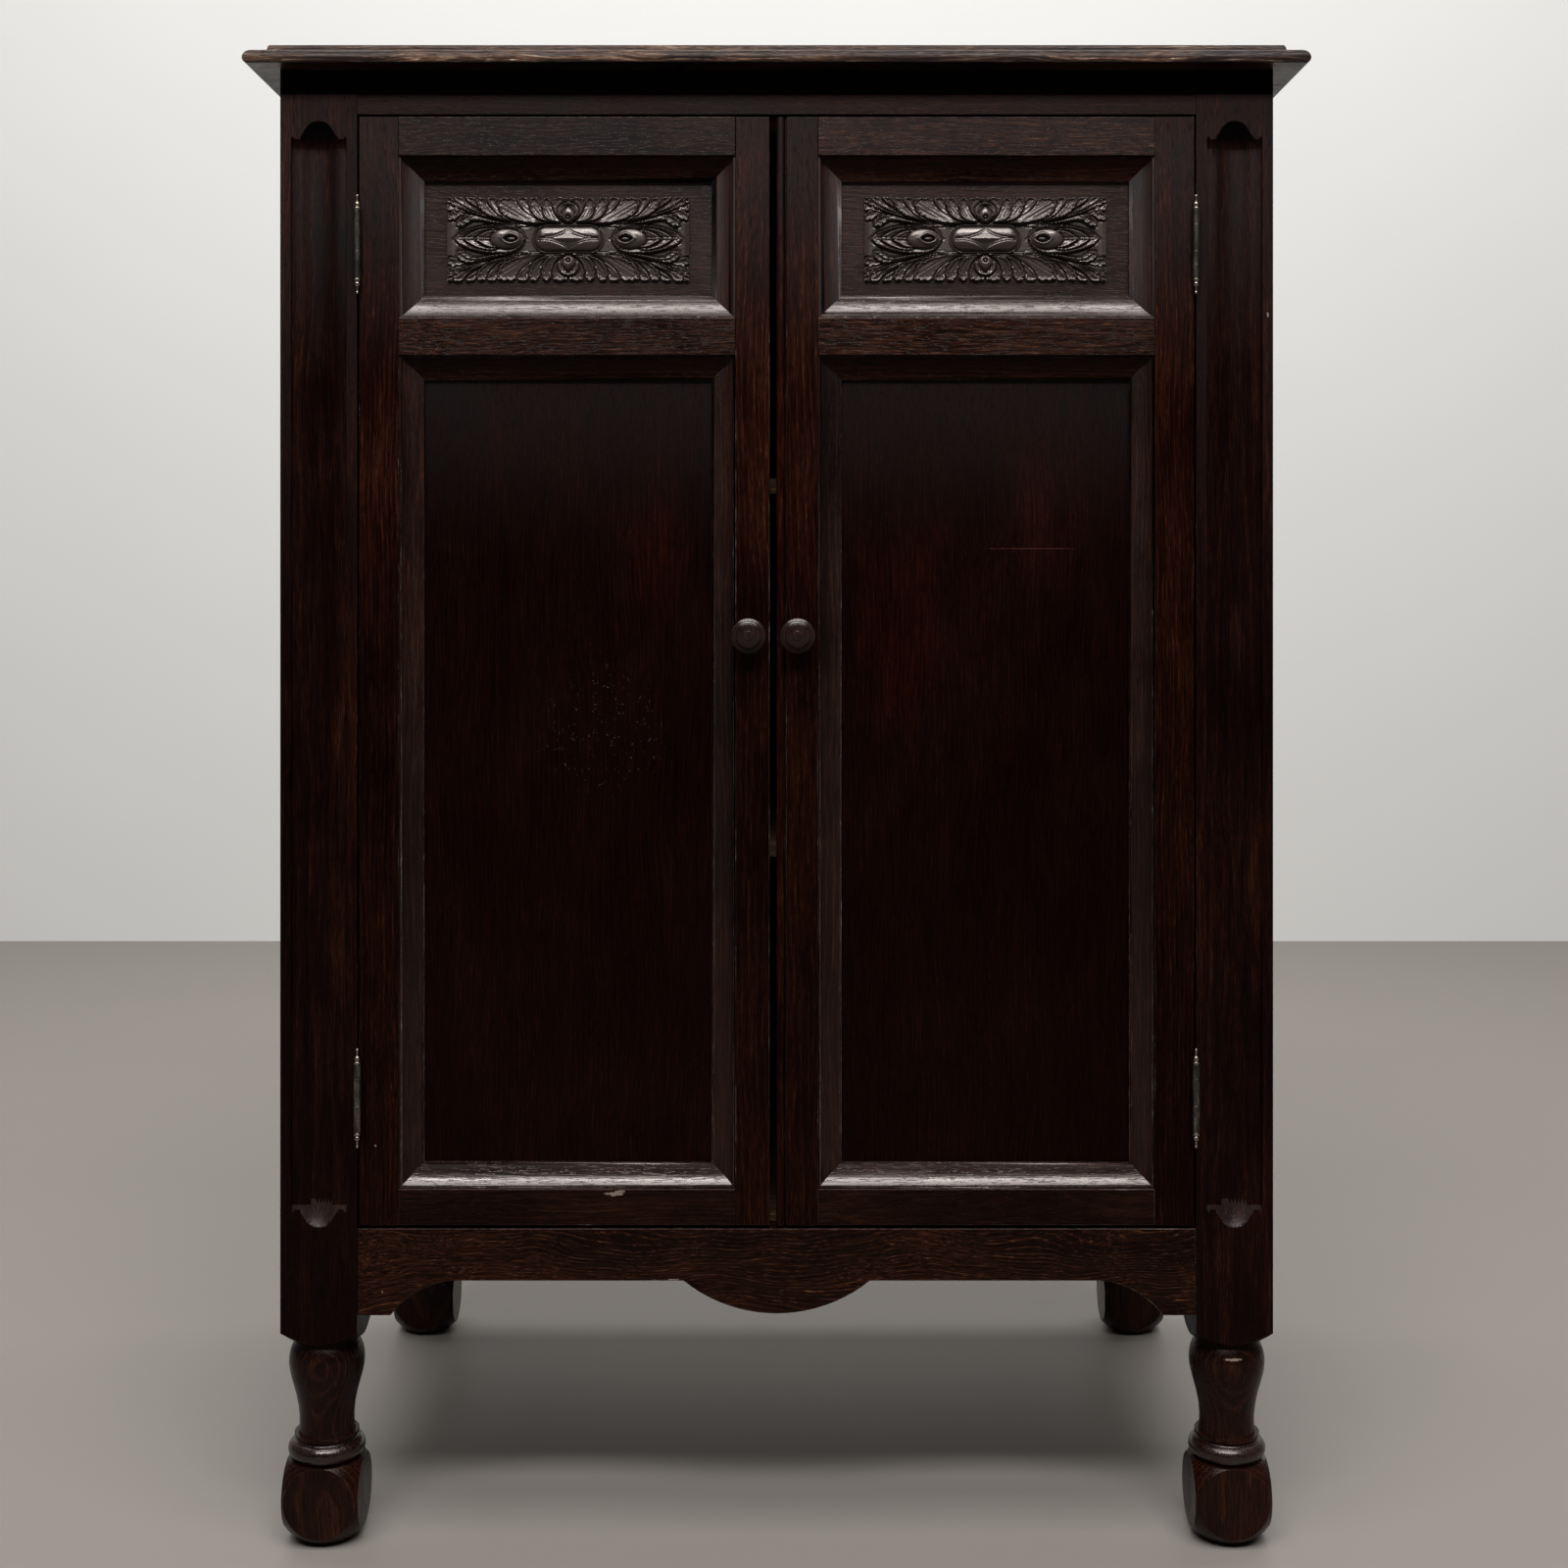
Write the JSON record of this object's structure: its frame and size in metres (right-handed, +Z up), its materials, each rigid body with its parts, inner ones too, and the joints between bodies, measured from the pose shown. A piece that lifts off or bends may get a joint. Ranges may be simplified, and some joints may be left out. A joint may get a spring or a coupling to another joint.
{
  "type": "court cupboard",
  "caption": "Upright two-door oak cupboard on turned legs with block feet: fluted square posts, shaped apron, moulded top, panelled doors with carved plaques and turned knobs.",
  "frame": {"origin": "middle of the overall footprint, on the floor", "axes": "+Z up, -Y out of the doors at the front, +X to the right as seen from the front"},
  "size_m": [0.796, 0.523, 1.136],
  "materials": {
    "frame_oak": "dark stained oak, worn satin polish",
    "top_oak": "dark stained oak, edges worn to the wood",
    "door_oak": "dark stained oak, worn satin polish",
    "door_panel_oak": "dark red-brown stained oak, satin",
    "moulding_oak": "dark stained oak, satin",
    "carving_oak": "dark stained oak, rubbed on the high parts",
    "knob_oak": "dark stained oak, polished by use",
    "case_panel_oak": "dark stained oak plywood, satin",
    "inside_wood": "unpolished, darkened with age",
    "hinge_brass": "aged dark brass",
    "steel": "dull steel"
  },
  "bodies": {
    "case": {"back_panel": "case_panel_oak", "bottom_bearers": "inside_wood", "bottom_board": "inside_wood", "case_hinge_screws": "steel", "door_stop": "inside_wood", "front_apron": "frame_oak", "front_left_post": "frame_oak", "front_right_post": "frame_oak", "front_top_rail": "frame_oak", "hinge_pins": "hinge_brass", "left_bottom_rail": "frame_oak", "left_case_leaves": "hinge_brass", "left_side_panel": "case_panel_oak", "left_top_rail": "frame_oak", "lower_shelf": "inside_wood", "rear_bottom_rail": "frame_oak", "rear_left_post": "frame_oak", "rear_right_post": "frame_oak", "rear_top_rail": "frame_oak", "right_bottom_rail": "frame_oak", "right_case_leaves": "hinge_brass", "right_side_panel": "case_panel_oak", "right_top_rail": "frame_oak", "shelf_cleats": "inside_wood", "strike_plates": "hinge_brass", "top_board": "top_oak", "top_buttons": "inside_wood", "top_screws": "steel", "upper_shelf": "inside_wood"},
    "left_door": {"left_carved_plaque": "carving_oak", "left_catch_barrel": "hinge_brass", "left_door_bottom_rail": "door_oak", "left_door_frieze_rail": "door_oak", "left_door_leaves": "hinge_brass", "left_door_screws": "steel", "left_door_top_rail": "door_oak", "left_hinge_stile": "door_oak", "left_knob": "knob_oak", "left_lower_moulding": "moulding_oak", "left_lower_panel": "door_panel_oak", "left_meeting_stile": "door_oak", "left_upper_moulding": "moulding_oak", "left_upper_panel": "door_panel_oak"},
    "right_door": {"right_carved_plaque": "carving_oak", "right_catch_barrel": "hinge_brass", "right_door_bottom_rail": "door_oak", "right_door_frieze_rail": "door_oak", "right_door_leaves": "hinge_brass", "right_door_screws": "steel", "right_door_top_rail": "door_oak", "right_hinge_stile": "door_oak", "right_knob": "knob_oak", "right_lower_moulding": "moulding_oak", "right_lower_panel": "door_panel_oak", "right_meeting_stile": "door_oak", "right_upper_moulding": "moulding_oak", "right_upper_panel": "door_panel_oak"},
    "left_catch_ball": {"left_catch_ball": "steel"},
    "right_catch_ball": {"right_catch_ball": "steel"}
  },
  "joints": [
    {"name": "left_door_hinge", "type": "hinge", "parent": "case", "child": "left_door", "pos_m": [-0.3162, -0.2416, 0.6646], "axis": [0, 0, -1], "range_deg": [0, 170]},
    {"name": "right_door_hinge", "type": "hinge", "parent": "case", "child": "right_door", "pos_m": [0.3162, -0.2416, 0.6646], "axis": [0, 0, 1], "range_deg": [0, 170]},
    {"name": "left_catch_slide", "type": "slide", "parent": "left_door", "child": "left_catch_ball", "axis": [0, 0, -1], "range_m": [0, 0.0015], "stiffness_N_per_m": 100, "springref_m": -0.002},
    {"name": "right_catch_slide", "type": "slide", "parent": "right_door", "child": "right_catch_ball", "axis": [0, 0, -1], "range_m": [0, 0.0015], "stiffness_N_per_m": 100, "springref_m": -0.002}
  ]
}
